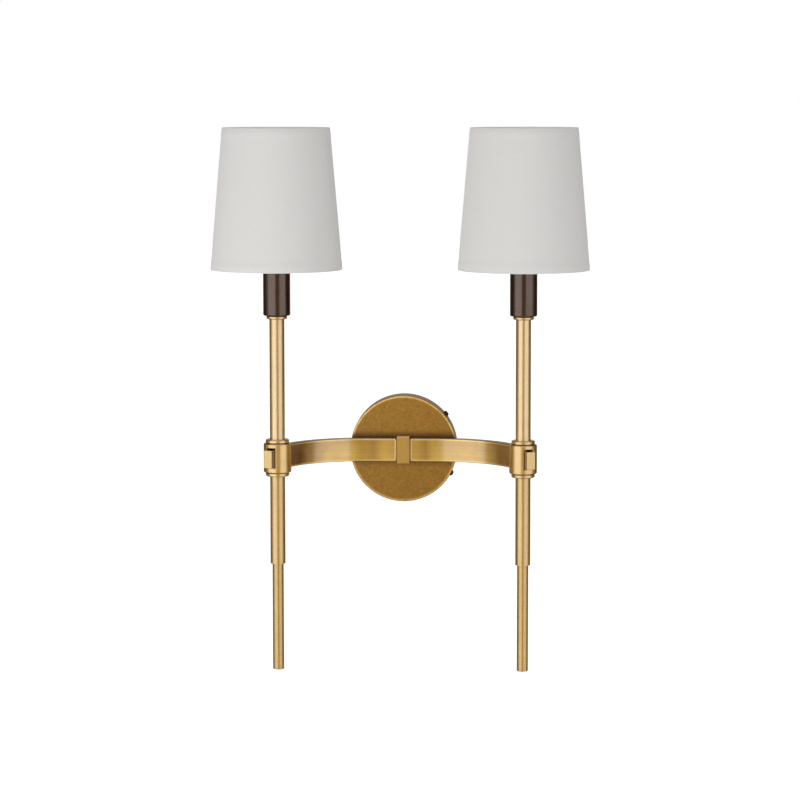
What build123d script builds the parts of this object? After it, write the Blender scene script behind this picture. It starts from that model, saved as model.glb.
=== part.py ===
from build123d import *
import os
from math import cos, radians, sin

# Double arm wall sconce. Sizes are in millimetres.
# +X is to the right, +Y goes into the wall and +Z is up.
# The origin is the centre of the mounting pan's back, on the wall.

os.makedirs("parts", exist_ok=True)

# Fits between pieces
seat_gap = 0.1  # between threaded or brazed pieces, on the radius
turning_gap = 0.08  # between the shade's washer and the socket neck, on the radius
loose_gap = 0.5  # between sheet pieces that slip over each other, on the radius
contact_gap = 0.1  # between faces that part when something moves

# Canopy and mounting pan
canopy_diameter = 115.0
canopy_depth = 25.4
canopy_sheet = 1.2
canopy_edge = 1.5
pan_depth = 14.0
pan_sheet = 1.5
wire_hole_diameter = 30.0
slot_width = 5.0
slot_length = 10.0
wide_slot_spacing = 88.9
narrow_slot_spacing = 69.85
boss_size = 7.0
boss_height = 4.0

# Side screws of the canopy, as angles from +X towards +Z
side_screw_angles = (39.0, -29.0, 185.0)
side_screw_from_wall = 9.0
side_screw_diameter = 3.8
side_screw_head = 6.5
side_screw_head_height = 2.8
side_screw_head_round = 2.2
side_screw_length = 8.0
driver_slot = 0.9

# Ground screw
ground_screw_x = -30.0
ground_screw_z = 30.0
ground_screw_diameter = 3.8
ground_screw_head = 7.6
ground_screw_head_height = 2.2
ground_boss_diameter = 8.4
ground_boss_height = 3.0

# Threaded pipe used for every nipple
pipe_diameter = 9.8
pipe_bore = 7.0
pipe_grip = 8.0
pipe_tail = 2.0
locknut_across_flats = 15.0
locknut_height = 3.6
washer_diameter = 17.0
washer_sheet = 1.0

# Centre block
block_width = 13.8
block_height = 29.2
block_proud = 1.0
block_edge = 0.5
spigot_length = 7.0
wire_slot_height = 8.0
wire_slot_depth = 3.4

# Arms
arm_thickness = 9.5
arm_wall = 1.5
arm_height = 24.7
arm_edge = 0.6
arm_off_canopy = 2.0
arm_block_gap = 0.8
bend_radius = 95.0
bend_angle = 65.0
straight_end = 18.6
stem_spacing = 258.4

# Arm tenons
tenon_height = 18.8
tenon_reach = 20.5
tenon_edge = 0.4
window_top_gap = 1.5
window_bottom_gap = 0.3
window_side_gap = 0.2

# Knuckles
barrel_diameter = 29.2
barrel_height = 31.0
barrel_edge = 1.0
window_edge = 0.5
collar_diameter = 24.6
collar_height = 4.0
collar_edge = 0.8
nipple_window_width = 5.0
nipple_window_height = 12.0

# Stems
stem_diameter = 15.8
upper_stem_length = 126.8
lower_stem_length = 93.0
lower_stem_socket = 20.0
rod_diameter = 11.8
rod_length = 113.5
rod_edge = 0.8
rod_spigot_diameter = 8.0
rod_spigot_length = 9.5
flange_diameter = 21.8
flange_height = 3.7
flange_edge = 1.0

# Socket cups and lamp sockets
cup_diameter = 28.6
cup_height = 62.0
cup_wall = 1.0
cup_floor = 1.5
cup_edge = 1.6
socket_gap = 0.5
socket_neck = 9.5
socket_nipple_grip = 6.0
shell_depth = 24.0
shell_wall = 0.4
socket_web = 3.0
contact_diameter = 6.0
contact_height = 1.0
rivet_diameter = 3.0

# Candle bulbs
bulb_base_diameter = 11.9
bulb_base_height = 20.0
bulb_base_wall = 0.5
bulb_tip_diameter = 4.4
bulb_tip_height = 1.2
bulb_glass_diameter = 35.0
bulb_glass_height = 78.0
bulb_glass_wall = 0.8
bulb_neck_length = 5.0
bulb_neck_rise = 11.0
bulb_belly_height = 33.0
bulb_shoulder_rise = 25.0
bulb_tip_spread = 5.2

# Shades
shade_bottom_diameter = 138.0
shade_top_diameter = 112.6
shade_height = 148.0
shade_sheet = 1.0
shade_drop = 13.8
shade_wire = 2.4
shade_wire_inset = 2.2
washer_outer_diameter = 33.0
shade_washer_sheet = 1.6
spider_arms = 3
shade_nut_diameter = 31.0
shade_nut_height = 5.0
shade_nut_grooves = 16
shade_nut_groove = 0.8

# Wires
wire_diameter = 2.0
wire_offset = 1.3
wire_bend = 3.0
wire_end_gap = 2.0
wire_nut_diameter = 8.6
wire_nut_tip_diameter = 6.0
wire_nut_bore = 6.4
wire_nut_depth = 12.0
wire_nut_length = 17.0
wire_nut_from_wall = 9.0
wire_nut_rise = 13.0

# Places worked out from the sizes above
strap_y = -(canopy_depth + arm_off_canopy + arm_thickness / 2)
bend = radians(bend_angle)
stem_x = stem_spacing / 2
stem_y = strap_y - bend_radius * (1 - cos(bend)) - straight_end * sin(bend)
bend_x = stem_x - straight_end * cos(bend) - bend_radius * sin(bend)
arm_start = block_width / 2 + arm_block_gap
thread_hole = pipe_diameter + 2 * seat_gap
nipple_clear = pipe_diameter / 2 + 2 * seat_gap
collar_top = barrel_height / 2 + collar_height
flange_bottom = collar_top + upper_stem_length
cup_bottom = flange_bottom + flange_height
cup_top = cup_bottom + cup_height
socket_bottom = cup_bottom + cup_floor
socket_top = cup_top + socket_neck
socket_diameter = cup_diameter - 2 * cup_wall - 2 * socket_gap
web_top = socket_top - shell_depth
bulb_bottom = web_top + contact_height + contact_gap + bulb_tip_height
bulb_base_top = bulb_bottom + bulb_base_height
bulb_base_bore = bulb_base_diameter - 2 * bulb_base_wall
shell_bore = bulb_base_diameter + 2 * seat_gap
shell_diameter = shell_bore + 2 * shell_wall
washer_bottom = cup_top + contact_gap
washer_top = washer_bottom + shade_washer_sheet
shade_bottom = washer_bottom - shade_drop
shade_top = shade_bottom + shade_height
rod_top = -(collar_top + lower_stem_length)
block_depth = arm_off_canopy + arm_thickness + block_proud
canopy_nipple_back = canopy_depth - canopy_sheet - washer_sheet - locknut_height - pipe_tail

# The knuckle's own plane: its x points along the tenon, away from the arm
knuckle = Plane(origin=(stem_x, stem_y, 0), x_dir=(cos(bend), -sin(bend), 0), z_dir=(0, 0, 1))
MIDDLE_UP = (Align.CENTER, Align.CENTER, Align.MIN)

pieces = {}  # pieces on the middle line, by name
right_pieces = {}  # pieces of the right-hand side; the left-hand side mirrors them


def on_stem(height):
    """Level plane on the stem's axis."""
    return Plane(origin=(stem_x, stem_y, height))


def tube(height, length, outside, inside):
    """Round tube standing on the stem's axis."""
    with BuildPart() as piece:
        with BuildSketch(on_stem(height)):
            Circle(outside / 2)
            Circle(inside / 2, mode=Mode.SUBTRACT)
        extrude(amount=length)
    return piece


def outer_rims(piece, edge_size):
    """Softens the two widest rims of a round piece on the stem's axis."""
    with piece:
        rims = piece.edges().filter_by(GeomType.CIRCLE).group_by(SortBy.RADIUS)[-1]
        chamfer(rims, edge_size)
    return piece


def screw_plane(angle, radius):
    """Plane square to a side screw, at this distance from the canopy's axis."""
    out = Vector(cos(radians(angle)), 0, sin(radians(angle)))
    return Plane(origin=out * radius - Vector(0, side_screw_from_wall, 0), z_dir=out)


# ---------------------------------------------------------------- mounting pan

pan_radius = canopy_diameter / 2 - canopy_sheet - loose_gap

with BuildPart() as mounting_pan:
    with BuildSketch(Plane.XZ):
        Circle(pan_radius)
    extrude(amount=pan_depth)
    with BuildSketch(Plane.XZ.offset(pan_sheet)):
        Circle(pan_radius - pan_sheet)
    extrude(amount=pan_depth, mode=Mode.SUBTRACT)
    with BuildSketch(Plane.XZ.offset(pan_sheet)):
        with Locations((ground_screw_x, ground_screw_z)):
            Circle(ground_boss_diameter / 2)
    extrude(amount=ground_boss_height)
    for angle in side_screw_angles:
        with BuildSketch(screw_plane(angle, pan_radius - pan_sheet / 2)):
            Rectangle(boss_size, boss_size)
        extrude(amount=-(boss_height + pan_sheet / 2))
    for angle in side_screw_angles:
        with BuildSketch(screw_plane(angle, pan_radius + loose_gap)):
            Circle(side_screw_diameter / 2 + seat_gap)
        extrude(amount=-(boss_height + 2 * pan_sheet + 2 * loose_gap), mode=Mode.SUBTRACT)
    with BuildSketch(Plane.XZ):
        Circle(wire_hole_diameter / 2)
        with Locations((wide_slot_spacing / 2, 0), (-wide_slot_spacing / 2, 0)):
            SlotOverall(slot_length, slot_width)
        with Locations((0, narrow_slot_spacing / 2), (0, -narrow_slot_spacing / 2)):
            SlotOverall(slot_length, slot_width, rotation=90)
    extrude(amount=pan_sheet, mode=Mode.SUBTRACT)
    with BuildSketch(Plane.XZ.offset(pan_sheet / 2)):
        with Locations((ground_screw_x, ground_screw_z)):
            Circle(ground_screw_diameter / 2 + seat_gap)
    extrude(amount=pan_sheet / 2 + ground_boss_height, mode=Mode.SUBTRACT)
pieces["mounting_pan"] = mounting_pan

with BuildPart() as ground_screw:
    with BuildSketch(Plane.XZ.offset(pan_sheet / 2)):
        with Locations((ground_screw_x, ground_screw_z)):
            Circle(ground_screw_diameter / 2)
    extrude(amount=pan_sheet / 2 + ground_boss_height)
    with BuildSketch(Plane.XZ.offset(pan_sheet + ground_boss_height)):
        with Locations((ground_screw_x, ground_screw_z)):
            RegularPolygon(ground_screw_head / 2, 6)
    extrude(amount=ground_screw_head_height)
    with BuildSketch(Plane.XZ.offset(pan_sheet + ground_boss_height + ground_screw_head_height)):
        with Locations((ground_screw_x, ground_screw_z)):
            Rectangle(2 * ground_screw_head, driver_slot)
    extrude(amount=-ground_screw_head_height / 2, mode=Mode.SUBTRACT)
pieces["ground_screw"] = ground_screw

# ---------------------------------------------------------------------- canopy

with BuildPart() as canopy:
    with BuildSketch(Plane.XZ):
        Circle(canopy_diameter / 2)
    extrude(amount=canopy_depth)
    fillet(canopy.faces().sort_by(Axis.Y)[0].edges(), canopy_edge)
    offset(amount=-canopy_sheet, openings=canopy.faces().sort_by(Axis.Y)[-1])
    with BuildSketch(Plane.XZ.offset(canopy_depth)):
        Circle(thread_hole / 2)
    extrude(amount=-2 * canopy_sheet, mode=Mode.SUBTRACT)
    for angle in side_screw_angles:
        with BuildSketch(screw_plane(angle, canopy_diameter / 2 + loose_gap)):
            Circle(side_screw_diameter / 2 + seat_gap)
        extrude(amount=-(canopy_sheet + 2 * loose_gap), mode=Mode.SUBTRACT)
pieces["canopy"] = canopy


def on_head_top(face):
    """Tells whether a face is the outer end of a side screw's head."""
    from_axis = Vector(face.center().X, 0, face.center().Z).length
    return from_axis > (canopy_diameter + side_screw_head_height) / 2 and face.geom_type == GeomType.PLANE


with BuildPart() as side_screws:
    for angle in side_screw_angles:
        with BuildSketch(screw_plane(angle, canopy_diameter / 2)):
            Circle(side_screw_diameter / 2)
        extrude(amount=-side_screw_length)
    for angle in side_screw_angles:
        with BuildSketch(screw_plane(angle, canopy_diameter / 2)):
            Circle(side_screw_head / 2)
        extrude(amount=side_screw_head_height)
    fillet(side_screws.faces().filter_by(on_head_top).edges(), side_screw_head_round)
    for angle in side_screw_angles:
        with BuildSketch(screw_plane(angle, canopy_diameter / 2 + side_screw_head_height)):
            Rectangle(2 * side_screw_head, driver_slot)
        extrude(amount=-side_screw_head_height / 2, mode=Mode.SUBTRACT)
pieces["side_screws"] = side_screws

# ---------------------------------------------------------------- centre block

spigot_thickness = arm_thickness - 2 * arm_wall - 2 * seat_gap
spigot_height = arm_height - 2 * arm_wall - 2 * seat_gap
spigot_reach = arm_start + spigot_length

with BuildPart() as centre_block:
    with BuildSketch(Plane.XZ.offset(canopy_depth)):
        Rectangle(block_width, block_height)
    extrude(amount=block_depth)
    chamfer(centre_block.faces().sort_by(Axis.Y)[0].edges(), block_edge)
    with BuildSketch(Plane.YZ):
        with Locations((strap_y, 0)):
            Rectangle(spigot_thickness, spigot_height)
    extrude(amount=spigot_reach, both=True)
    with BuildSketch(Plane.YZ):
        with Locations((strap_y, 0)):
            SlotOverall(wire_slot_height, wire_slot_depth, rotation=90)
    extrude(amount=spigot_reach, both=True, mode=Mode.SUBTRACT)
    with BuildSketch(Plane.XZ.offset(canopy_depth)):
        Circle(pipe_bore / 2)
    extrude(amount=-strap_y - canopy_depth, mode=Mode.SUBTRACT)
    with BuildSketch(Plane.XZ.offset(canopy_depth)):
        Circle(thread_hole / 2)
    extrude(amount=arm_off_canopy + arm_thickness / 2 - wire_slot_depth / 2, mode=Mode.SUBTRACT)
pieces["centre_block"] = centre_block

nipple_front = -strap_y - wire_slot_depth / 2 - seat_gap

with BuildPart() as canopy_nipple:
    with BuildSketch(Plane.XZ.offset(canopy_nipple_back)):
        Circle(pipe_diameter / 2)
        Circle(pipe_bore / 2, mode=Mode.SUBTRACT)
    extrude(amount=nipple_front - canopy_nipple_back)
pieces["canopy_nipple"] = canopy_nipple

with BuildPart() as lock_washer:
    with BuildSketch(Plane.XZ.offset(canopy_depth - canopy_sheet - washer_sheet)):
        Circle(washer_diameter / 2)
        Circle(thread_hole / 2, mode=Mode.SUBTRACT)
    extrude(amount=washer_sheet)
pieces["lock_washer"] = lock_washer

with BuildPart() as locknut:
    with BuildSketch(Plane.XZ.offset(canopy_depth - canopy_sheet - washer_sheet - locknut_height)):
        RegularPolygon(locknut_across_flats / 2, 6, major_radius=False)
        Circle(thread_hole / 2, mode=Mode.SUBTRACT)
    extrude(amount=locknut_height)
pieces["locknut"] = locknut

# ------------------------------------------------------------------------ arms


def bent_bar(inset, start, knuckle_gap):
    """The right arm's bar, with its four long faces moved in by inset."""
    half = arm_thickness / 2 - inset
    bend_centre = (bend_x, strap_y - bend_radius)
    rear_end = knuckle.from_local_coords(Vector(-knuckle_gap, half, 0))
    front_end = knuckle.from_local_coords(Vector(-knuckle_gap, -half, 0))
    with BuildPart() as bar:
        with BuildSketch(Plane.XY.offset(inset - arm_height / 2)):
            with BuildLine():
                rear = Line((start, strap_y + half), (bend_x, strap_y + half))
                rear_bend = CenterArc(bend_centre, bend_radius + half, 90, -bend_angle)
                Line(rear_bend @ 1, (rear_end.X, rear_end.Y))
                Line((rear_end.X, rear_end.Y), (front_end.X, front_end.Y))
                front_bend = CenterArc(bend_centre, bend_radius - half, 90, -bend_angle)
                Line((front_end.X, front_end.Y), front_bend @ 1)
                front = Line(front_bend @ 0, (start, strap_y - half))
                Line(front @ 1, rear @ 0)
            make_face()
        extrude(amount=arm_height - 2 * inset)
    return bar


hollow = bent_bar(arm_wall, arm_start - arm_wall, nipple_clear - arm_wall)
with BuildPart() as arm:
    add(bent_bar(0, arm_start, nipple_clear).part)
    chamfer(arm.edges(), arm_edge)
    add(hollow.part, mode=Mode.SUBTRACT)
right_pieces["arm"] = arm

with BuildPart(knuckle) as arm_tenon:
    with Locations((nipple_clear, 0, 0)):
        Box(
            tenon_reach - nipple_clear,
            arm_thickness,
            tenon_height,
            align=(Align.MIN, Align.CENTER, Align.CENTER),
        )
    chamfer(arm_tenon.faces().sort_by(Axis(knuckle.origin, knuckle.x_dir))[-1].edges(), tenon_edge)
right_pieces["arm_tenon"] = arm_tenon

# -------------------------------------------------------------------- knuckles

window_width = arm_thickness + 2 * window_side_gap
window_height = tenon_height + window_top_gap + window_bottom_gap


def on_window_rim(edge):
    """Tells whether an edge borders the tenon's window on the barrel's outside."""
    here = knuckle.to_local_coords(edge.center())
    outside = Vector(here.X, here.Y, 0).length > barrel_diameter / 2 - window_edge / 2
    below_rims = abs(here.Z) < barrel_height / 2 - barrel_edge - window_edge
    return outside and below_rims and here.X > 0 and abs(here.Y) < window_width


with BuildPart(knuckle) as barrel:
    Cylinder(barrel_diameter / 2, barrel_height)
    chamfer(barrel.edges().filter_by(GeomType.CIRCLE), barrel_edge)
    Cylinder(thread_hole / 2, barrel_height, mode=Mode.SUBTRACT)
    Box(
        barrel_diameter,
        arm_thickness + 2 * seat_gap,
        arm_height + 2 * seat_gap,
        align=(Align.MAX, Align.CENTER, Align.CENTER),
        mode=Mode.SUBTRACT,
    )
    with Locations((0, 0, -tenon_height / 2 - window_bottom_gap)):
        Box(
            barrel_diameter,
            window_width,
            window_height,
            align=(Align.MIN, Align.CENTER, Align.MIN),
            mode=Mode.SUBTRACT,
        )
    chamfer(barrel.edges().filter_by(on_window_rim), window_edge)
right_pieces["knuckle_barrel"] = barrel

upper_collar = tube(barrel_height / 2, collar_height, collar_diameter, thread_hole)
right_pieces["upper_collar"] = outer_rims(upper_collar, collar_edge)
lower_collar = tube(-collar_top, collar_height, collar_diameter, thread_hole)
right_pieces["lower_collar"] = outer_rims(lower_collar, collar_edge)

with BuildPart(knuckle) as knuckle_nipple:
    Cylinder(pipe_diameter / 2, 2 * (collar_top + pipe_grip))
    Cylinder(pipe_bore / 2, 2 * (collar_top + pipe_grip), mode=Mode.SUBTRACT)
    Box(
        pipe_diameter,
        nipple_window_width,
        nipple_window_height,
        align=(Align.MAX, Align.CENTER, Align.CENTER),
        mode=Mode.SUBTRACT,
    )
right_pieces["knuckle_nipple"] = knuckle_nipple

# ----------------------------------------------------------------------- stems

right_pieces["upper_stem"] = tube(collar_top, upper_stem_length, stem_diameter, thread_hole)

spigot_hole = rod_spigot_diameter + 2 * seat_gap

with BuildPart(on_stem(rod_top)) as lower_stem:
    Cylinder(stem_diameter / 2, lower_stem_length, align=MIDDLE_UP)
    Cylinder(spigot_hole / 2, rod_spigot_length + seat_gap, align=MIDDLE_UP, mode=Mode.SUBTRACT)
    with Locations((0, 0, lower_stem_length - lower_stem_socket)):
        Cylinder(thread_hole / 2, lower_stem_socket, align=MIDDLE_UP, mode=Mode.SUBTRACT)
right_pieces["lower_stem"] = lower_stem

with BuildPart(on_stem(rod_top - rod_length)) as lower_rod:
    Cylinder(rod_diameter / 2, rod_length, align=MIDDLE_UP)
    fillet(lower_rod.edges().sort_by(Axis.Z)[0], rod_edge)
    with Locations((0, 0, rod_length)):
        Cylinder(rod_spigot_diameter / 2, rod_spigot_length, align=MIDDLE_UP)
right_pieces["lower_rod"] = lower_rod

stem_flange = tube(flange_bottom, flange_height, flange_diameter, thread_hole)
right_pieces["stem_flange"] = outer_rims(stem_flange, flange_edge)

nipple_length = pipe_grip + flange_height + cup_floor + socket_nipple_grip
right_pieces["socket_nipple"] = tube(flange_bottom - pipe_grip, nipple_length, pipe_diameter, pipe_bore)

# ---------------------------------------------------- socket cups and sockets

with BuildPart(on_stem(cup_bottom)) as socket_cup:
    Cylinder(cup_diameter / 2, cup_height, align=MIDDLE_UP)
    fillet(socket_cup.edges().sort_by(Axis.Z)[0], cup_edge)
    with Locations((0, 0, cup_floor)):
        Cylinder(cup_diameter / 2 - cup_wall, cup_height, align=MIDDLE_UP, mode=Mode.SUBTRACT)
    Cylinder(thread_hole / 2, cup_floor, align=MIDDLE_UP, mode=Mode.SUBTRACT)
right_pieces["socket_cup"] = socket_cup

socket_height = socket_top - socket_bottom

with BuildPart(on_stem(socket_bottom)) as socket_body:
    Cylinder(socket_diameter / 2, socket_height, align=MIDDLE_UP)
    Cylinder(thread_hole / 2, socket_height - shell_depth - socket_web, align=MIDDLE_UP, mode=Mode.SUBTRACT)
    Cylinder(rivet_diameter / 2 + seat_gap, socket_height, align=MIDDLE_UP, mode=Mode.SUBTRACT)
    with Locations((0, 0, socket_height - shell_depth)):
        Cylinder(shell_diameter / 2 + seat_gap, shell_depth, align=MIDDLE_UP, mode=Mode.SUBTRACT)
right_pieces["socket_body"] = socket_body

right_pieces["screw_shell"] = tube(web_top, shell_depth - contact_height, shell_diameter, shell_bore)

with BuildPart(on_stem(web_top)) as socket_contact:
    Cylinder(contact_diameter / 2, contact_height, align=MIDDLE_UP)
    with Locations((0, 0, -socket_web)):
        Cylinder(rivet_diameter / 2, socket_web, align=MIDDLE_UP)
right_pieces["socket_contact"] = socket_contact

# ----------------------------------------------------------------------- bulbs


bulb_section = Plane(origin=(stem_x, stem_y, bulb_base_top), x_dir=(1, 0, 0), z_dir=(0, -1, 0))
bulb_axis = Axis((stem_x, stem_y, 0), (0, 0, 1))


def candle(inset):
    """The bulb's glass as a solid, with its outside moved in by inset."""
    neck = bulb_base_bore / 2 - seat_gap - inset
    belly = bulb_glass_diameter / 2 - inset
    top = bulb_glass_height - inset
    with BuildPart() as solid:
        with BuildSketch(bulb_section):
            with BuildLine():
                wall = Line((neck, -bulb_neck_length), (neck, 0))
                widest = (belly, bulb_belly_height)
                shoulder = (belly, bulb_belly_height + bulb_shoulder_rise)
                Bezier(wall @ 1, (neck, bulb_neck_rise), (belly, bulb_neck_rise), widest)
                crown = Bezier(widest, shoulder, (bulb_tip_spread, top), (0, top))
                foot = Line(crown @ 1, (0, -bulb_neck_length))
                Line(foot @ 1, wall @ 0)
            make_face()
        revolve(axis=bulb_axis)
    return solid


with BuildPart() as bulb_glass:
    add(candle(0).part)
    add(candle(bulb_glass_wall).part, mode=Mode.SUBTRACT)
right_pieces["bulb_glass"] = bulb_glass

with BuildPart(on_stem(bulb_bottom)) as bulb_base:
    Cylinder(bulb_base_diameter / 2, bulb_base_height, align=MIDDLE_UP)
    with Locations((0, 0, 2 * bulb_base_wall)):
        Cylinder(bulb_base_bore / 2, bulb_base_height, align=MIDDLE_UP, mode=Mode.SUBTRACT)
right_pieces["bulb_base"] = bulb_base

with BuildPart(on_stem(bulb_bottom - bulb_tip_height)) as bulb_tip:
    Cylinder(bulb_tip_diameter / 2, bulb_tip_height, align=MIDDLE_UP)
right_pieces["bulb_tip"] = bulb_tip

# ---------------------------------------------------------------------- shades


def shade_radius(height):
    """Outside radius of the shade at a height above its lower edge."""
    taper = (shade_top_diameter - shade_bottom_diameter) / 2 / shade_height
    return shade_bottom_diameter / 2 + taper * height


def wire_ring_radius(height):
    """Centre radius of a wire ring that lies against the shade's inside."""
    return shade_radius(height) - shade_sheet - shade_wire / 2 - seat_gap


shade_section = Plane(origin=(stem_x, stem_y, shade_bottom), x_dir=(1, 0, 0), z_dir=(0, -1, 0))

with BuildPart() as shade_shell:
    with BuildSketch(shade_section):
        bottom = shade_radius(0)
        top = shade_radius(shade_height)
        Polygon(
            (bottom - shade_sheet, 0),
            (bottom, 0),
            (top, shade_height),
            (top - shade_sheet, shade_height),
            align=None,
        )
    revolve(axis=bulb_axis)
right_pieces["shade_shell"] = shade_shell

with BuildPart(on_stem(shade_top - shade_wire_inset)) as shade_top_ring:
    Torus(wire_ring_radius(shade_height - shade_wire_inset), shade_wire / 2)
right_pieces["shade_top_ring"] = shade_top_ring

washer_bore = socket_diameter + 2 * turning_gap
spider_middle = (washer_bottom + washer_top) / 2
spider_end = wire_ring_radius(shade_wire_inset)

with BuildPart() as shade_spider:
    with BuildSketch(on_stem(washer_bottom)):
        Circle(washer_outer_diameter / 2)
        Circle(washer_bore / 2, mode=Mode.SUBTRACT)
    extrude(amount=shade_washer_sheet)
    with Locations(on_stem(shade_bottom + shade_wire_inset)):
        Torus(spider_end, shade_wire / 2)
    for turn in range(spider_arms):
        angle = radians(90 + 360 * turn / spider_arms)
        out = Vector(cos(angle), sin(angle), 0)
        axis_point = Vector(stem_x, stem_y, 0)
        inner = axis_point + out * (washer_outer_diameter / 2) + Vector(0, 0, spider_middle)
        outer = axis_point + out * spider_end + Vector(0, 0, shade_bottom + shade_wire_inset)
        with BuildSketch(Plane(origin=inner, z_dir=outer - inner)):
            Circle(shade_wire / 2)
        extrude(amount=(outer - inner).length)
right_pieces["shade_spider"] = shade_spider

with BuildPart() as shade_nut:
    with BuildSketch(on_stem(washer_top + contact_gap)):
        Circle(shade_nut_diameter / 2)
        Circle(socket_diameter / 2 + seat_gap, mode=Mode.SUBTRACT)
        with PolarLocations(shade_nut_diameter / 2, shade_nut_grooves):
            Circle(shade_nut_groove, mode=Mode.SUBTRACT)
    extrude(amount=shade_nut_height)
right_pieces["shade_nut"] = shade_nut

# ----------------------------------------------------------------------- wires


def wire(level):
    """One wire of the right side, from its wire nut in the canopy to the socket.

    level is 1 for the hot wire, which runs above its neighbour, and -1 for the neutral.
    """
    height = level * wire_offset
    nut_inside = wire_nut_rise + wire_nut_depth - wire_end_gap
    nut_end = Vector(wire_offset, -wire_nut_from_wall, level * nut_inside)
    bend_end = knuckle.from_local_coords(Vector(-straight_end, 0, height))
    knuckle_turn = knuckle.from_local_coords(Vector(-height, 0, height))
    socket_end = knuckle.from_local_coords(Vector(-height, 0, web_top - socket_web - wire_end_gap))
    with BuildPart() as piece:
        with BuildLine() as route:
            FilletPolyline(
                nut_end,
                (wire_offset, -wire_nut_from_wall, height),
                (wire_offset, strap_y, height),
                (bend_x, strap_y, height),
                radius=wire_bend,
            )
            CenterArc((bend_x, strap_y - bend_radius, height), bend_radius, 90, -bend_angle)
            FilletPolyline(bend_end, knuckle_turn, socket_end, radius=wire_bend)
        with BuildSketch(Plane(origin=nut_end, z_dir=(0, 0, -level))):
            Circle(wire_diameter / 2)
        sweep(path=route.line)
    return piece


right_pieces["hot_wire"] = wire(1)
right_pieces["neutral_wire"] = wire(-1)

with BuildPart() as wire_nuts:
    for level in (1, -1):
        mouth = Plane(
            origin=(0, -wire_nut_from_wall, level * wire_nut_rise), x_dir=(1, 0, 0), z_dir=(0, 0, level)
        )
        with BuildSketch(mouth):
            Circle(wire_nut_diameter / 2)
        with BuildSketch(mouth.offset(wire_nut_length)):
            Circle(wire_nut_tip_diameter / 2)
        loft()
        with BuildSketch(mouth):
            Circle(wire_nut_bore / 2)
        extrude(amount=wire_nut_depth, mode=Mode.SUBTRACT)
pieces["wire_nuts"] = wire_nuts

# ----------------------------------------------------------------------- files

for name, right in right_pieces.items():
    with BuildPart() as left:
        mirror(right.part, about=Plane.YZ)
    pieces["right_" + name] = right
    pieces["left_" + name] = left

for name, piece in pieces.items():
    piece.part.label = name
    export_step(piece.part, f"parts/{name}.step")
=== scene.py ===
import math

import bmesh
import bpy
from mathutils import Matrix, Vector


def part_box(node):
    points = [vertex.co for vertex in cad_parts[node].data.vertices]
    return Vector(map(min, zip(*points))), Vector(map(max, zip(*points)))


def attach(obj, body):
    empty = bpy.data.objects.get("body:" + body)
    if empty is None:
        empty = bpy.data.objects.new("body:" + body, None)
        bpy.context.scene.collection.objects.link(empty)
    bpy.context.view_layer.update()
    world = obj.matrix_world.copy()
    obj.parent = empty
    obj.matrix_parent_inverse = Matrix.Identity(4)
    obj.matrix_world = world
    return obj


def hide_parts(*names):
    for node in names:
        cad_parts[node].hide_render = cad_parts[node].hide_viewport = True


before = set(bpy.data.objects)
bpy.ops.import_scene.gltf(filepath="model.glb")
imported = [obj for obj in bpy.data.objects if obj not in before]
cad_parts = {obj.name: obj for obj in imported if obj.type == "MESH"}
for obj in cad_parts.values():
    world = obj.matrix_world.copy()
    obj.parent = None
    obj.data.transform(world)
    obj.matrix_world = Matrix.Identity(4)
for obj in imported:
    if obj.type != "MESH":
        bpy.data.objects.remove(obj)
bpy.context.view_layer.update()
SIDES = ("left", "right")

# Places on the part, in metres in the shared frame
STEM_X, STEM_Y = 0.1292, -0.10386  # axes of the stems and knuckles
ARM_TURN = math.radians(65)  # the arms' direction at the knuckles, away from the wall's plane
BARREL_END = 0.0155  # height of the seam between barrel and collar
COLLAR_END = 0.0195  # height of the seam between collar and stem

# ---------------------------------------------------------------- materials

MIX_A, MIX_B, MIX_RESULT = 6, 7, 2  # the Mix node's colour sockets, by index
FINE_BUMP = 0.0002  # height of fine surface unevenness, in metres

# Noise scales along X, Y and Z. Streaks run along the axes with small ones
UPRIGHT = (900, 900, 40)
LEVEL = (60, 60, 900)
ALONG_ARM = (14, 14, 1500)
EVEN = (260, 260, 260)


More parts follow.
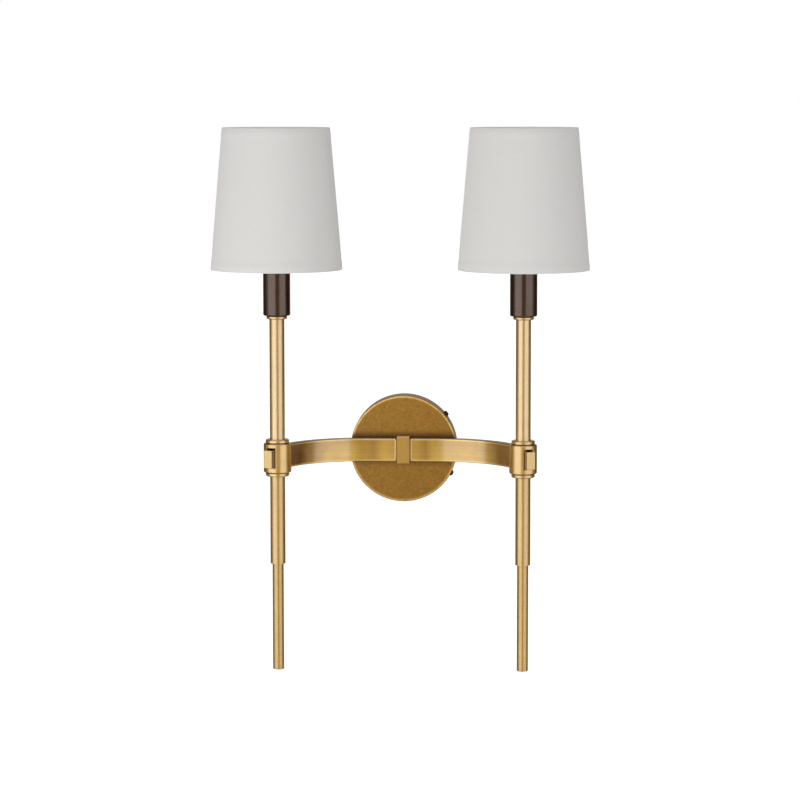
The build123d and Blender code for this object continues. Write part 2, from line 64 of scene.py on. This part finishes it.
class Material:
    """A node material that is put together one node at a time, in object coordinates."""

    def __init__(self, name):
        self.material = bpy.data.materials.new(name)
        self.material.use_nodes = True
        self.tree = self.material.node_tree
        self.shader = self.tree.nodes["Principled BSDF"]
        self.place = self.tree.nodes.new("ShaderNodeTexCoord").outputs["Object"]
        self.clouds = None  # the patina's blotches, where there is one

    def set(self, **values):
        for key, value in values.items():
            socket = self.shader.inputs[key.replace("_", " ").title().replace("Ior", "IOR")]
            socket.default_value = value

    def noise(self, scale, detail, rough=0.6, stretch=(1, 1, 1), distort=0.0):
        stretched = self.tree.nodes.new("ShaderNodeMapping")
        stretched.inputs["Scale"].default_value = stretch
        self.tree.links.new(self.place, stretched.inputs["Vector"])
        node = self.tree.nodes.new("ShaderNodeTexNoise")
        node.inputs["Scale"].default_value = scale
        node.inputs["Detail"].default_value = detail
        node.inputs["Roughness"].default_value = rough
        node.inputs["Distortion"].default_value = distort
        self.tree.links.new(stretched.outputs["Vector"], node.inputs["Vector"])
        return node.outputs["Fac"]

    def ramp(self, factor, *stops):
        """A ramp between two stops, each a position and a colour."""
        node = self.tree.nodes.new("ShaderNodeValToRGB")
        for element, (position, color) in zip(node.color_ramp.elements, stops):
            element.position = position
            element.color = (*color, 1)
        self.tree.links.new(factor, node.inputs["Fac"])
        return node.outputs["Color"]

    def span(self, factor, low, high, to_low=0.0, to_high=1.0):
        """Maps low to high onto to_low to to_high, and holds the ends outside that."""
        node = self.tree.nodes.new("ShaderNodeMapRange")
        ends = (("From Min", low), ("From Max", high), ("To Min", to_low), ("To Max", to_high))
        for key, value in ends:
            node.inputs[key].default_value = value
        self.tree.links.new(factor, node.inputs["Value"])
        return node.outputs["Result"]

    def math(self, operation, *values):
        node = self.tree.nodes.new("ShaderNodeMath")
        node.operation = operation
        for socket, value in zip(node.inputs, values):
            if isinstance(value, (int, float)):
                socket.default_value = value
            else:
                self.tree.links.new(value, socket)
        return node.outputs["Value"]

    def plus(self, a, b):
        return self.math("ADD", a, b)

    def times(self, a, b):
        return self.math("MULTIPLY", a, b)

    def size_of(self, a):
        return self.math("ABSOLUTE", a)

    def mix(self, factor, a, b, blend="MIX"):
        node = self.tree.nodes.new("ShaderNodeMix")
        node.data_type = "RGBA"
        node.blend_type = blend
        self.tree.links.new(factor, node.inputs["Factor"])
        for socket, value in ((node.inputs[MIX_A], a), (node.inputs[MIX_B], b)):
            if isinstance(value, tuple):
                socket.default_value = (*value, 1)
            else:
                self.tree.links.new(value, socket)
        return node.outputs[MIX_RESULT]

    def tint(self, mask, color, factor):
        """The colour multiplied by a factor for each channel, where the mask is 1."""
        return self.mix(mask, color, factor, "MULTIPLY")

    def axis(self, name):
        node = self.tree.nodes.new("ShaderNodeSeparateXYZ")
        self.tree.links.new(self.place, node.inputs["Vector"])
        return node.outputs[name]

    def link(self, output, name):
        self.tree.links.new(output, self.shader.inputs[name])

    def bump(self, height, strength, distance=FINE_BUMP):
        node = self.tree.nodes.new("ShaderNodeBump")
        node.inputs["Strength"].default_value = strength
        node.inputs["Distance"].default_value = distance
        self.tree.links.new(height, node.inputs["Height"])
        normal = self.shader.inputs["Normal"]
        if normal.is_linked:
            self.tree.links.new(normal.links[0].from_socket, node.inputs["Normal"])
        self.tree.links.new(node.outputs["Normal"], normal)


def brass(name, dark, light, rough, streak, streak_depth, blotches,
          contrast=0.5, brushed=0.25, wear_and_painted_light=None, coat_weight=1.0, coat_ior=2.1):
    """Antique brass: blotched patina, fine streaks along one direction and a glossy lacquer."""
    m = Material(name)
    m.set(metallic=1.0, coat_weight=coat_weight, coat_roughness=0.17, coat_ior=coat_ior)
    m.clouds = m.noise(blotches, 4.0, distort=0.4)
    grain = m.noise(blotches * 7, 3.0)
    lines = m.noise(1.0, 2.0, stretch=streak)
    tone_mask = m.span(m.plus(m.times(m.clouds, 0.7), m.times(grain, 0.3)),
                    0.5 - contrast / 2, 0.5 + contrast / 2)
    toned = m.plus(m.times(tone_mask, 1 - brushed), m.times(m.span(lines, 0.3, 0.7), brushed))
    color = m.mix(toned, dark, light)
    # Where given, adds the part's own marks: dark seams, and painted light and shade.
    m.link(wear_and_painted_light(m, color) if wear_and_painted_light else color, "Base Color")
    gloss = m.plus(m.times(m.clouds, 0.6), m.times(lines, 0.4))
    m.link(m.span(gloss, 0.3, 0.7, rough + 0.05, rough - 0.05), "Roughness")
    m.bump(lines, streak_depth)
    m.bump(grain, 0.05)
    return m.material


def arm_painted_light(m, color):
    """Painted light on the arms: painted shade at the knuckles, beside the block, on the upper half
    and on the narrow faces, and painted highlights at the block, the bends and the edges.
    """
    x, z = m.axis("X"), m.axis("Z")
    reach, height = m.size_of(x), m.size_of(z)
    aside = m.size_of(m.plus(x, 0.004))
    # Painted shade: darker towards the knuckles, more on the left arm, and in two bands beside the
    # block, varied by the blotches.
    shade_at_knuckle = m.times(m.span(reach, 0.084, 0.114), m.span(x, -0.1, 0.1, 1.2, 0.6))
    shade_beside_block = m.times(m.span(aside, 0.019, 0.028), m.span(aside, 0.035, 0.029, 0, 0.34))
    tone_mask = m.times(m.math("MAXIMUM", shade_at_knuckle, shade_beside_block),
                     m.span(m.clouds, 0.35, 0.65, 0.8, 1.15))
    color = m.tint(tone_mask, color, (0.40, 0.27, 0.15))
    # Painted highlights: paler beside the block, mostly on the left arm, and where the bends start.
    highlight_at_block = m.times(m.span(aside, 0.027, 0.017), m.span(x, 0.02, -0.02, 0.1, 1.0))
    color = m.tint(highlight_at_block, color, (1.22, 1.25, 1.35))
    bend = m.size_of(m.plus(x, 0.010))
    highlight_at_bend = m.times(m.span(bend, 0.034, 0.043), m.span(bend, 0.060, 0.050))
    color = m.tint(highlight_at_bend, color, (1.18, 1.28, 1.6))
    # Painted shade: the upper half of each arm darker.
    shaded_upper_half = m.span(z, -0.010, 0.009)
    color = m.tint(shaded_upper_half, color, (0.84, 0.82, 0.78))
    # Painted highlights on the arms' end edges by the block and along their long edges.
    end_edge_highlight = m.times(m.span(reach, 0.0092, 0.0087), m.span(x, -0.001, 0.001, 0.9, 0.5))
    color = m.mix(end_edge_highlight, color, (0.95, 0.78, 0.48))
    long_edge_highlight = m.times(m.span(height, 0.0102, 0.0110), m.span(height, 0.0119, 0.0116))
    color = m.mix(long_edge_highlight, color, (0.62, 0.42, 0.12))
    # Painted shade on the narrow top and bottom faces.
    shaded_narrow_faces = m.span(height, 0.0117, 0.0121)
    return m.tint(shaded_narrow_faces, color, (0.30, 0.20, 0.10))


def knuckle_seams_and_shade(m, color):
    """Dark lines of old lacquer in the seams between barrel, collars and stems, and painted shade
    over the ring faces at these heights.
    """
    height = m.size_of(m.axis("Z"))
    barrel_seam = m.span(m.size_of(m.math("SUBTRACT", height, BARREL_END)), 0.0009, 0.0002)
    stem_seam = m.span(m.size_of(m.math("SUBTRACT", height, COLLAR_END)), 0.0006, 0.0001)
    return m.tint(m.math("MAXIMUM", barrel_seam, stem_seam), color, (0.45, 0.32, 0.20))


def tenon_painted_shade(m, color):
    """Painted shade on the tenon's sides inside the window, against which the end face stands out
    brighter.
    """
    sideways = m.times(m.math("SUBTRACT", m.size_of(m.axis("X")), STEM_X), math.cos(ARM_TURN))
    forward = m.times(m.math("SUBTRACT", m.axis("Y"), STEM_Y), -math.sin(ARM_TURN))
    # Painted shade where the tenon lies inside the window.
    inside = m.span(m.plus(sideways, forward), 0.0204, 0.0197)
    return m.tint(inside, color, (0.42, 0.32, 0.20))


def plate_painted_light(m, color):
    """Painted light on the canopy: a painted highlight on the rolled edge, lighter towards the top,
    painted shadow along the arms and painted shade on the side wall.
    """
    x, z = m.axis("X"), m.axis("Z")
    radius = m.math("POWER", m.plus(m.times(x, x), m.times(z, z)), 0.5)
    # Painted highlight on the rolled edge, broken up by the blotches.
    rim = m.times(m.span(radius, 0.0545, 0.0560), m.span(radius, 0.0572, 0.0568))
    color = m.mix(m.times(rim, m.span(m.clouds, 0.3, 0.6, 0.5, 1.0)), color, (0.66, 0.42, 0.13))
    # Painted light: paler towards the top.
    color = m.tint(m.span(z, -0.045, 0.045), color, (1.14, 1.15, 1.2))
    # Painted shadow on the canopy above and below the arms, stronger above.
    shadow_along_arm = m.times(m.span(m.size_of(z), 0.0200, 0.0138), m.span(z, -0.001, 0.001, 0.5, 0.95))
    color = m.tint(shadow_along_arm, color, (0.34, 0.26, 0.16))
    # Painted shade on the side wall.
    shaded_side_wall = m.span(radius, 0.0566, 0.0574)
    return m.mix(shaded_side_wall, color, (0.18, 0.098, 0.022))


def simple(name, color, spread, roughness, scale, depth=0.08, **values):
    """A plain surface with a little unevenness in its colour, gloss and height."""
    m = Material(name)
    m.set(**values)
    grain = m.noise(scale, 4.0)
    dark, light = (tuple(min(1, c * factor) for c in color) for factor in spread)
    m.link(m.ramp(grain, (0.3, dark), (0.7, light)), "Base Color")
    m.link(m.span(grain, 0.3, 0.7, roughness * 0.9, roughness * 1.1), "Roughness")
    m.bump(grain, depth)
    return m.material


def fabric(name, color):
    """A fine plain weave of pale threads with faint slubs."""
    m = Material(name)
    m.set(roughness=0.85, sheen_weight=0.1, sheen_roughness=0.5, specular_ior_level=0.25)
    weft = m.noise(1.0, 3.0, stretch=(160, 160, 2600))
    warp = m.noise(1.0, 3.0, stretch=(2600, 2600, 160))
    threads = m.plus(weft, warp)
    cloud = m.noise(14.0, 2.0, rough=0.5)
    value = m.plus(m.times(m.span(threads, 0.7, 1.3), 0.8), m.times(cloud, 0.2))
    dark, light = (tuple(c * factor for c in color) for factor in (0.955, 1.02))
    m.link(m.ramp(value, (0.0, dark), (1.0, light)), "Base Color")
    m.bump(threads, 0.10, 0.0003)
    return m.material


def frosted(name):
    """Pale glass with a finely etched surface."""
    m = Material(name)
    m.set(roughness=0.35, transmission_weight=0.75, ior=1.45, base_color=(0.95, 0.95, 0.93, 1))
    m.bump(m.noise(2200, 3.0), 0.2, 0.0001)
    return m.material


stem_brass = brass("stem_brass", (0.41, 0.250, 0.042), (0.49, 0.315, 0.058), rough=0.52,
                   streak=UPRIGHT, streak_depth=0.05, blotches=70, coat_ior=2.5)
low_brass = brass("low_brass", (0.39, 0.228, 0.032), (0.46, 0.282, 0.044), rough=0.52,
                  streak=UPRIGHT, streak_depth=0.05, blotches=70)
rod_brass = brass("rod_brass", (0.37, 0.212, 0.028), (0.44, 0.268, 0.038), rough=0.52,
                  streak=UPRIGHT, streak_depth=0.05, blotches=70, coat_ior=1.95)
knuckle_brass = brass("knuckle_brass", (0.42, 0.240, 0.036), (0.50, 0.305, 0.050), rough=0.46,
                      streak=LEVEL, streak_depth=0.06, blotches=110, wear_and_painted_light=knuckle_seams_and_shade)
tenon_brass = brass("tenon_brass", (0.38, 0.235, 0.040), (0.45, 0.295, 0.056), rough=0.5,
                    streak=LEVEL, streak_depth=0.06, blotches=110, wear_and_painted_light=tenon_painted_shade,
                    coat_weight=0.8)
block_brass = brass("block_brass", (0.38, 0.222, 0.040), (0.47, 0.285, 0.060), rough=0.45,
                    streak=LEVEL, streak_depth=0.06, blotches=110, coat_weight=0.6)
plate_brass = brass("plate_brass", (0.18, 0.084, 0.008), (0.35, 0.185, 0.027), rough=0.48,
                    streak=EVEN, streak_depth=0.12, blotches=360, contrast=0.42,
                    wear_and_painted_light=plate_painted_light, coat_weight=0.35)
arm_brass = brass("arm_brass", (0.36, 0.205, 0.028), (0.54, 0.335, 0.058), rough=0.48,
                  streak=ALONG_ARM, streak_depth=0.25, blotches=55, brushed=0.45,
                  wear_and_painted_light=arm_painted_light, coat_weight=0.7)

bronze = simple("dark_bronze", (0.050, 0.028, 0.017), (0.85, 1.15), 0.25, 160, 0.03, metallic=0.9,
                coat_weight=0.8, coat_roughness=0.17, specular_tint=(1.0, 0.9, 0.85, 1))
black_metal = simple("black_screw", (0.012, 0.012, 0.012), (0.8, 1.2), 0.35, 900, metallic=0.5)
zinc = simple("zinc_steel", (0.52, 0.53, 0.54), (0.85, 1.1), 0.38, 120, metallic=1.0)
green_metal = simple("green_screw", (0.05, 0.22, 0.08), (0.85, 1.1), 0.4, 400, metallic=0.7)
porcelain = simple("socket_plastic", (0.80, 0.78, 0.72), (0.97, 1.02), 0.3, 200)
plain_brass = simple("shell_brass", (0.62, 0.44, 0.17), (0.9, 1.1), 0.3, 300, metallic=1.0)
bulb_metal = simple("bulb_metal", (0.62, 0.62, 0.62), (0.92, 1.08), 0.3, 300, metallic=1.0)
white_enamel = simple("frame_wire", (0.80, 0.80, 0.77), (0.96, 1.03), 0.35, 300)
black_sleeve = simple("black_wire", (0.015, 0.015, 0.015), (0.8, 1.3), 0.5, 500)
white_sleeve = simple("white_wire", (0.75, 0.75, 0.73), (0.95, 1.05), 0.5, 500)
nut_plastic = simple("wire_nut", (0.60, 0.22, 0.05), (0.92, 1.08), 0.45, 300)
shade_fabric = fabric("shade_fabric", (0.68, 0.67, 0.652))
shade_liner = simple("shade_liner", (0.84, 0.83, 0.80), (0.98, 1.01), 0.5, 60, 0.03)
glass = frosted("bulb_glass")

FINISH = {
    "canopy": plate_brass, "centre_block": block_brass, "arm": arm_brass, "arm_tenon": tenon_brass,
    "knuckle_barrel": knuckle_brass, "upper_collar": knuckle_brass, "lower_collar": knuckle_brass,
    "stem_flange": knuckle_brass, "upper_stem": stem_brass, "lower_stem": low_brass,
    "lower_rod": rod_brass, "socket_cup": bronze, "side_screws": black_metal, "mounting_pan": zinc,
    "ground_screw": green_metal, "canopy_nipple": zinc, "knuckle_nipple": zinc,
    "socket_nipple": zinc, "lock_washer": zinc, "locknut": zinc, "socket_body": porcelain,
    "shade_nut": porcelain, "screw_shell": plain_brass, "socket_contact": plain_brass,
    "bulb_glass": glass, "bulb_base": bulb_metal, "bulb_tip": bulb_metal,
    "shade_shell": shade_fabric, "shade_top_ring": white_enamel, "shade_spider": white_enamel,
    "hot_wire": black_sleeve, "neutral_wire": white_sleeve, "wire_nuts": nut_plastic,
}
for name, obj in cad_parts.items():
    side, _, kind = name.partition("_")
    obj.data.materials.clear()
    obj.data.materials.append(FINISH[kind if side in SIDES else name])
    obj.data.shade_smooth()
    obj.data.set_sharp_from_angle(angle=math.radians(32))

# ------------------------------------------------------------------- shades

# Sizes of the dressed shades, in metres
TAPER = 0.0127  # how much smaller the radius is at the top than at the bottom
SHEET = 0.0010  # cloth and liner together
CLOTH = 0.0006  # the cloth alone, where it is turned over the rims
LINER_GAP = 0.00001  # between the liner's edge and the turned cloth
LIP = 0.0004  # from each rim to the liner's edge
ROUND = 0.0003  # rounding of the folded cloth at each rim
HEM = 0.0085  # height of the hems
HEM_PROUD = 0.00018  # how far a hem stands out at its edge
HEM_STEP = 0.0005  # height over which it falls back to the cloth
CLOTH_STEPS, LINER_STEPS = 24, 12


def ring_mesh(name, outline, centre, turns=160):
    """A round mesh about a vertical axis, from a closed outline of (radius, height)."""
    mesh = bpy.data.meshes.new(name)
    bm = bmesh.new()
    rings = []
    for turn in range(turns):
        angle = 2 * math.pi * turn / turns
        cos, sin = math.cos(angle), math.sin(angle)
        places = [(centre.x + r * cos, centre.y + r * sin, z) for r, z in outline]
        rings.append([bm.verts.new(place) for place in places])
    for turn in range(turns):
        here, there = rings[turn], rings[(turn + 1) % turns]
        for k in range(len(outline)):
            j = (k + 1) % len(outline)
            bm.faces.new((here[k], there[k], there[j], here[j]))
    bmesh.ops.recalc_face_normals(bm, faces=bm.faces)
    bm.to_mesh(mesh)
    bm.free()
    mesh.shade_smooth()
    mesh.set_sharp_from_angle(angle=math.radians(50))
    obj = bpy.data.objects.new(name, mesh)
    bpy.context.collection.objects.link(obj)
    return obj


def dress_shade(side):
    """A cloth skin, turned over both rims with a hem along each, and the liner inside it."""
    low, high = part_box(side + "_shade_shell")
    bottom, top = low.z, high.z
    height = top - bottom
    radius = (high.x - low.x) / 2

    def point(z, inwards):
        return (radius - TAPER * (z - bottom) / height - inwards, z)

    outside = [point(bottom + LIP, CLOTH), point(bottom, ROUND), point(bottom + ROUND, 0)]
    outside += [point(bottom + HEM, -HEM_PROUD), point(bottom + HEM + HEM_STEP, 0)]
    for step in range(1, CLOTH_STEPS):
        outside.append(point(bottom + HEM + (height - 2 * HEM) * step / CLOTH_STEPS, 0))
    outside += [point(top - HEM - HEM_STEP, 0), point(top - HEM, -HEM_PROUD)]
    outside += [point(top - ROUND, 0), point(top, ROUND), point(top - LIP, CLOTH)]

    edge = CLOTH + LINER_GAP
    inside = [point(bottom + LIP, edge), point(bottom + LIP, SHEET)]
    inside += [point(bottom + height * step / LINER_STEPS, SHEET) for step in range(1, LINER_STEPS)]
    inside += [point(top - LIP, SHEET), point(top - LIP, edge)]

    centre = (low + high) / 2
    skin = ring_mesh(side + "_shade_cloth", outside, centre)
    skin.data.materials.append(shade_fabric)
    liner = ring_mesh(side + "_shade_liner", inside, centre)
    liner.data.materials.append(shade_liner)
    for piece in (skin, liner):
        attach(piece, side + "_shade")
    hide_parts(side + "_shade_shell")


for side in SIDES:
    dress_shade(side)

# ---------------------------------------------------------- light and stage

HEART = Vector((0, -0.06, 0.06))  # what the lamps and cards face
WARM_DARK, GREY, TAN = (0.10, 0.05, 0.02), (0.30, 0.28, 0.25), (0.40, 0.29, 0.16)


def around(azimuth, distance, height=HEART.z):
    """A point round the object. Azimuth 0 is in front of it, positive to the right."""
    a = math.radians(azimuth)
    return (math.sin(a) * distance, HEART.y - math.cos(a) * distance, height)


def put(name, data, place, facing):
    """A new object at a place, with its facing axis towards the heart."""
    obj = bpy.data.objects.new(name, data)
    bpy.context.collection.objects.link(obj)
    obj.location = place
    obj.rotation_euler = (HEART - Vector(place)).to_track_quat(facing, "Y").to_euler()
    obj.visible_camera = False
    return obj


def flat_mesh(name, width, height):
    w, h = width / 2, height / 2
    mesh = bpy.data.meshes.new(name)
    mesh.from_pydata([(-w, -h, 0), (w, -h, 0), (w, h, 0), (-w, h, 0)], [], [(0, 1, 2, 3)])
    return mesh


def card(name, size, place, color, strength):
    """A flat studio card, seen only in reflections."""
    mesh = flat_mesh(name, *size)
    m = Material(name)
    m.set(base_color=(*color, 1), roughness=1,
          emission_color=(*color, 1), emission_strength=strength)
    mesh.materials.append(m.material)
    obj = put(name, mesh, place, "Z")
    obj.visible_diffuse = False
    obj.visible_shadow = False
    obj.visible_transmission = False


def softbox(name, size, place, power, glossy=True):
    """A rectangular lamp. Without glossy it is not seen in reflections."""
    lamp = bpy.data.lights.new(name, "AREA")
    lamp.shape = "RECTANGLE"
    lamp.size, lamp.size_y = size
    lamp.energy = power
    put(name, lamp, place, "-Z").visible_glossy = glossy


softbox("softbox_left", (1.9, 1.5), around(-42, 1.6, -0.10), 14.5)
softbox("softbox_right", (1.7, 1.5), around(51, 1.6, -0.10), 10)
softbox("softbox_top", (1.6, 0.9), (0, -0.6, 2.0), 6)
softbox("fill_low", (1.0, 1.0), (-0.8, -0.9, -0.6), 2.5, glossy=False)
softbox("fill_rear", (1.8, 1.2), around(195, 1.6, 0.35), 7, glossy=False)
for name, azimuth in (("rear_left", -137), ("rear", 180), ("rear_right", 137)):
    card("card_" + name, (2.1, 3.4), around(azimuth, 1.1), WARM_DARK, 0.25)
card("card_behind", (1.2, 3.0), around(180, 1.0), GREY, 0.8)
card("card_front", (0.75, 2.4), around(8, 1.5), TAN, 0.55)

# A white surrounding: full strength where it is seen, less where it lights the object
SEEN_LEVEL, LIGHTING_LEVEL = 1.0, 0.42
world = bpy.data.worlds.new("studio")
bpy.context.scene.world = world
world.use_nodes = True
tree = world.node_tree
background = tree.nodes["Background"]
path = tree.nodes.new("ShaderNodeLightPath")


def either(a, b):
    node = tree.nodes.new("ShaderNodeMath")
    node.operation = "MAXIMUM"
    tree.links.new(a, node.inputs[0])
    tree.links.new(b, node.inputs[1])
    return node.outputs[0]


seen = either(either(path.outputs["Is Camera Ray"], path.outputs["Is Glossy Ray"]),
              path.outputs["Is Transmission Ray"])
level = tree.nodes.new("ShaderNodeMapRange")
level.inputs["To Min"].default_value = LIGHTING_LEVEL
level.inputs["To Max"].default_value = SEEN_LEVEL
tree.links.new(seen, level.inputs["Value"])
tree.links.new(level.outputs["Result"], background.inputs["Strength"])
background.inputs["Color"].default_value = (1, 1, 1, 1)

# A pale floor far below, lifted towards the white of the surrounding
FLOOR_SIZE, FLOOR_Z, FLOOR_LIFT = 60, -1.4, 0.75
floor_mesh = flat_mesh("floor", FLOOR_SIZE, FLOOR_SIZE)
pale = Material("floor")
pale.set(base_color=(0.85, 0.85, 0.85, 1), roughness=0.9, emission_color=(1, 1, 1, 1))
camera_ray = pale.tree.nodes.new("ShaderNodeLightPath").outputs["Is Camera Ray"]
pale.link(pale.times(camera_ray, FLOOR_LIFT), "Emission Strength")
floor_mesh.materials.append(pale.material)
floor = bpy.data.objects.new("floor", floor_mesh)
floor.location = (0, 0, FLOOR_Z)
bpy.context.collection.objects.link(floor)

# ------------------------------------------------------------------- camera

YAW, PITCH, ROLL = -0.0498, 0.1008, -0.0008  # radians; YAW is to the right, PITCH down
CAMERA_PLACE = (0.1454, -3.0205, 0.3821)
lens = bpy.data.cameras.new("camera")
lens.sensor_width = 36
lens.lens = 126
lens.shift_y = -0.03
lens.clip_end = 50
camera = bpy.data.objects.new("camera", lens)
bpy.context.collection.objects.link(camera)
look = Vector((math.sin(YAW) * math.cos(PITCH), math.cos(YAW) * math.cos(PITCH), -math.sin(PITCH)))
across = Vector((math.cos(YAW), -math.sin(YAW), 0))
up = across.cross(look)
across, up = (across * math.cos(ROLL) + up * math.sin(ROLL),
              up * math.cos(ROLL) - across * math.sin(ROLL))
turn = Matrix((across, up, -look)).transposed().to_4x4()
camera.matrix_world = Matrix.Translation(CAMERA_PLACE) @ turn
bpy.context.scene.camera = camera
bpy.context.scene.view_settings.view_transform = "Standard"
